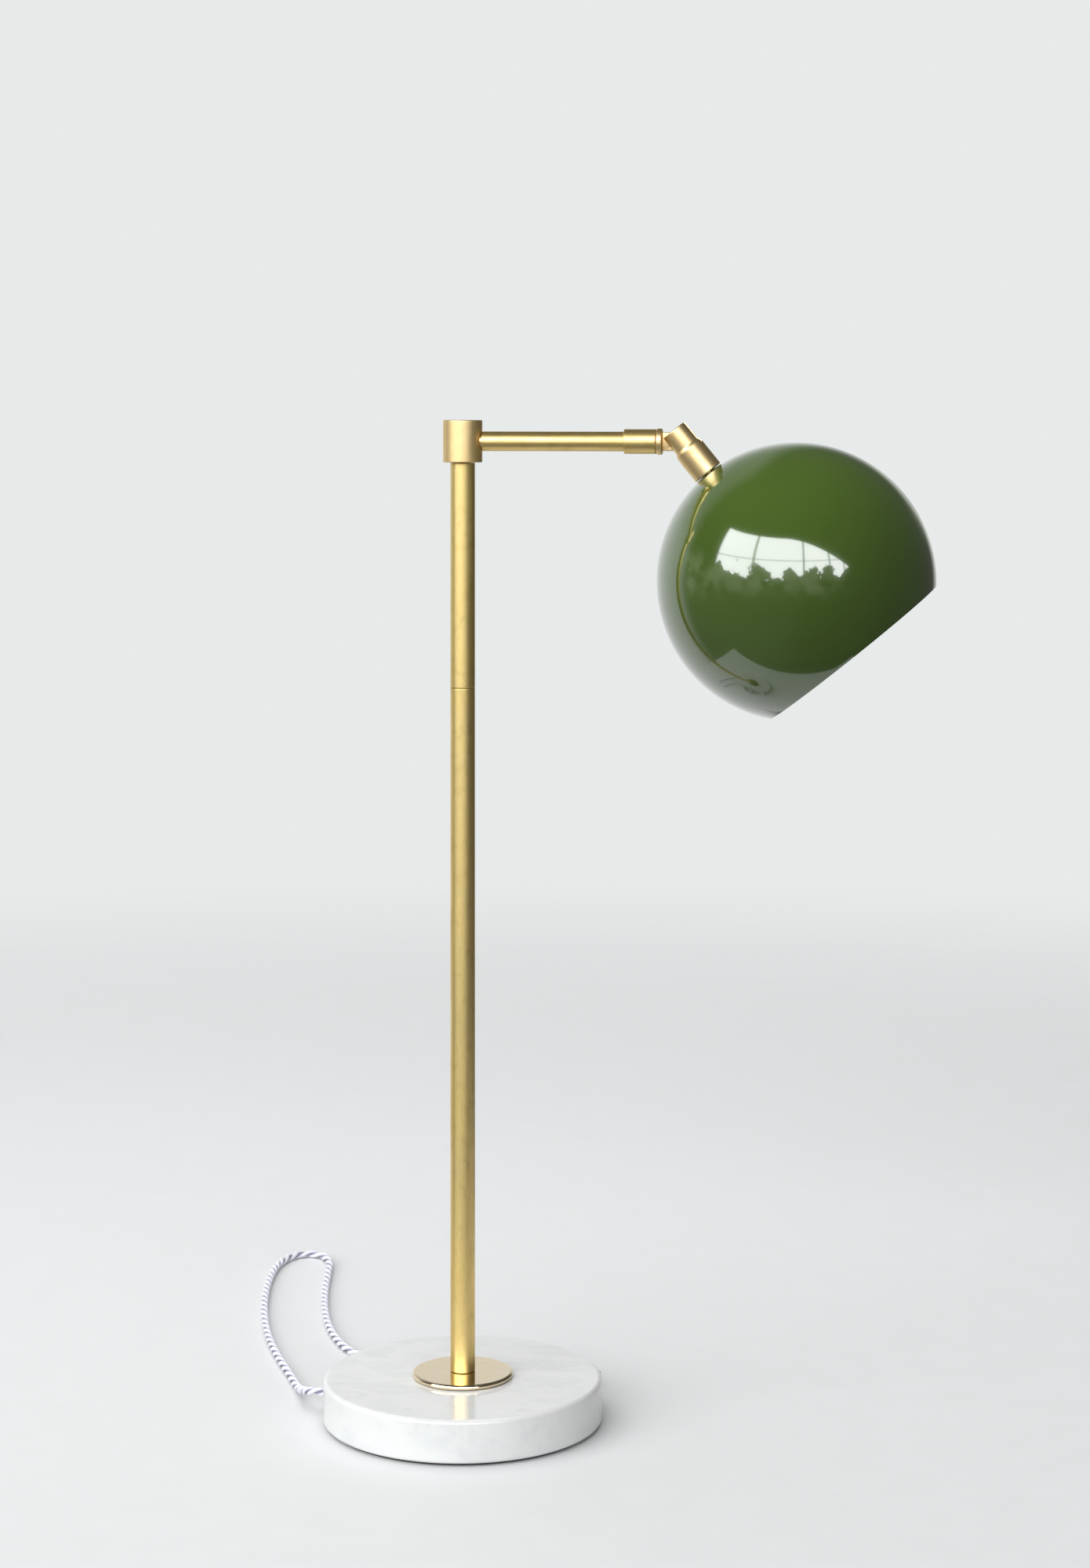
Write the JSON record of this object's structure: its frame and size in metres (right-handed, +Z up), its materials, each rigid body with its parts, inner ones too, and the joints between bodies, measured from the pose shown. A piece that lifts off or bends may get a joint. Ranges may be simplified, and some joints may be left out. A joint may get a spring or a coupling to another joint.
{
  "type": "adjustable arm table lamp",
  "caption": "Table lamp with a round marble base, a brass stem, a swivelling brass arm and a glossy globe shade on a tilting knuckle; twisted cloth cord with plug.",
  "frame": {"origin": "centre of the base pad's underside, on the table", "axes": "+Z up along the stem, +X along the arm in its rest position, towards the shade"},
  "size_m": [0.5021, 0.4583, 0.6468],
  "materials": {
    "raw_brass": "unlacquered, drawn and lightly polished",
    "satin_brass": "machined satin",
    "polished_brass": "polished",
    "zinc_steel": "zinc plated",
    "marble": "polished white marble with faint grey veins",
    "felt": "black felt",
    "green_enamel": "high gloss olive green enamel",
    "phenolic": "black moulded",
    "tie_band": "black strap",
    "fibre_liner": "vulcanised fibre",
    "frosted_glass": "frosted white",
    "nylon": "natural nylon",
    "wire_insulation": "white insulation",
    "cloth_cord": "white braided cloth, twisted pair",
    "white_plastic": "white moulded"
  },
  "bodies": {
    "root": {"base_pad": "felt", "marble_base": "marble", "cord_grommet": "phenolic", "base_flange": "polished_brass", "base_nipple": "raw_brass", "base_washer": "zinc_steel", "base_lock_washer": "zinc_steel", "base_nut": "zinc_steel", "stem_lower": "raw_brass", "stem_upper": "raw_brass", "stem_bottom_bushing": "raw_brass", "stem_coupling": "raw_brass", "stem_top_bushing": "raw_brass", "swivel_stud": "raw_brass", "swivel_washer": "nylon", "swivel_nut": "zinc_steel", "stem_wire": "wire_insulation", "cord_lead": "cloth_cord", "cord_coil": "cloth_cord", "coil_tie": "tie_band", "cord_tail": "cloth_cord", "plug_body": "white_plastic", "plug_blade_left": "polished_brass", "plug_blade_right": "polished_brass"},
    "arm": {"swivel_collar": "satin_brass", "collar_cap": "satin_brass", "arm_nipple": "raw_brass", "arm_tube": "raw_brass", "knuckle_sleeve": "raw_brass", "arm_wire": "wire_insulation"},
    "knuckle": {"knuckle_ring": "satin_brass", "knuckle_tongue": "satin_brass", "knuckle_washer_front": "nylon", "knuckle_washer_rear": "nylon", "spigot_washer": "nylon", "spigot_nut": "zinc_steel"},
    "shade_head": {"knuckle_fork": "satin_brass", "pivot_screw": "zinc_steel", "shade_nipple": "raw_brass", "shade": "green_enamel", "shade_washer": "zinc_steel", "shade_nut": "zinc_steel", "socket_cap": "satin_brass", "socket_shell": "satin_brass", "socket_body": "phenolic", "socket_liner": "fibre_liner", "screw_shell": "polished_brass", "center_contact": "polished_brass", "socket_wire": "wire_insulation", "bulb_glass": "frosted_glass", "bulb_base": "zinc_steel"},
    "switch": {"switch_knob": "phenolic"}
  },
  "joints": [
    {"name": "arm_swivel", "type": "hinge", "parent": "root", "child": "arm", "pos_m": [0, 0, 0.6332], "axis": [0, 0, 1], "range_deg": [-165, 165]},
    {"name": "knuckle_roll", "type": "hinge", "parent": "arm", "child": "knuckle", "pos_m": [0.1277, 0, 0.6332], "axis": [1, 0, 0], "range_deg": [-150, 150]},
    {"name": "shade_tilt", "type": "hinge", "parent": "knuckle", "child": "shade_head", "pos_m": [0.143, 0, 0.6332], "axis": [0, 1, 0], "range_deg": [-141, 39]},
    {"name": "switch_turn", "type": "hinge", "parent": "shade_head", "child": "switch", "pos_m": [0.1811, 0, 0.5861], "axis": [0, -1, 0], "continuous": true}
  ]
}
